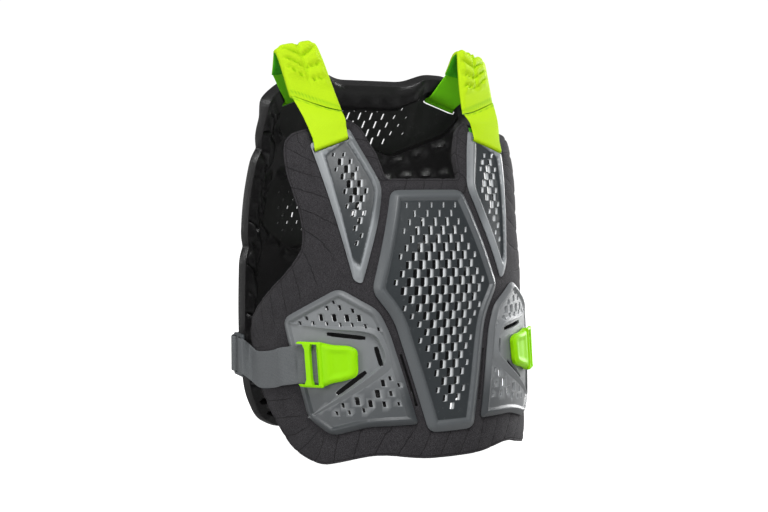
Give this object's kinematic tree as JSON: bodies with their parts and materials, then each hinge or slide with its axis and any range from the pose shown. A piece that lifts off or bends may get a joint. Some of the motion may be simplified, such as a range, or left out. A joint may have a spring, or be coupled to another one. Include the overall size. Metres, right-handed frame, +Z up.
{
  "type": "roost deflector",
  "caption": "Motocross roost deflector: pierced chest and back shells on padded liners, joined by lime shoulder straps and grey elastic side straps with hook buckles.",
  "frame": {"origin": "between the shoulders, midway between the two shoulder pads' ridges and just below them", "axes": "+X to the wearer's left, +Y to the wearer's back, so the chest faces -Y, and +Z up"},
  "size_m": [0.3458, 0.2777, 0.4432],
  "materials": {
    "liner_cloth": "matt heathered cloth over foam",
    "back_foam": "matt black moulded foam with a cloth face",
    "shell_plastic": "satin grey moulded plastic",
    "dark_plastic": "satin dark grey moulded plastic",
    "lime_cloth": "lime yellow padded and woven cloth",
    "lime_plastic": "lime green moulded plastic",
    "grey_elastic": "grey woven elastic",
    "slider_plastic": "dark grey plastic"
  },
  "bodies": {
    "root": {"front_liner": "liner_cloth", "centre_chest_plate": "shell_plastic", "upper_chest_plate_right": "shell_plastic", "upper_chest_plate_left": "shell_plastic", "rib_plate_right": "shell_plastic", "rib_plate_left": "shell_plastic", "back_liner": "back_foam", "upper_back_plate": "dark_plastic", "lower_back_plate": "dark_plastic", "shoulder_pad_right": "lime_cloth", "front_webbing_right": "lime_cloth", "rear_webbing_right": "lime_cloth", "side_strap_right": "grey_elastic", "hook_buckle_right": "lime_plastic", "strap_slider_right": "slider_plastic", "back_tab_right": "grey_elastic", "shoulder_pad_left": "lime_cloth", "front_webbing_left": "lime_cloth", "rear_webbing_left": "lime_cloth", "side_strap_left": "grey_elastic", "hook_buckle_left": "lime_plastic", "strap_slider_left": "slider_plastic", "back_tab_left": "grey_elastic"}
  },
  "joints": []
}
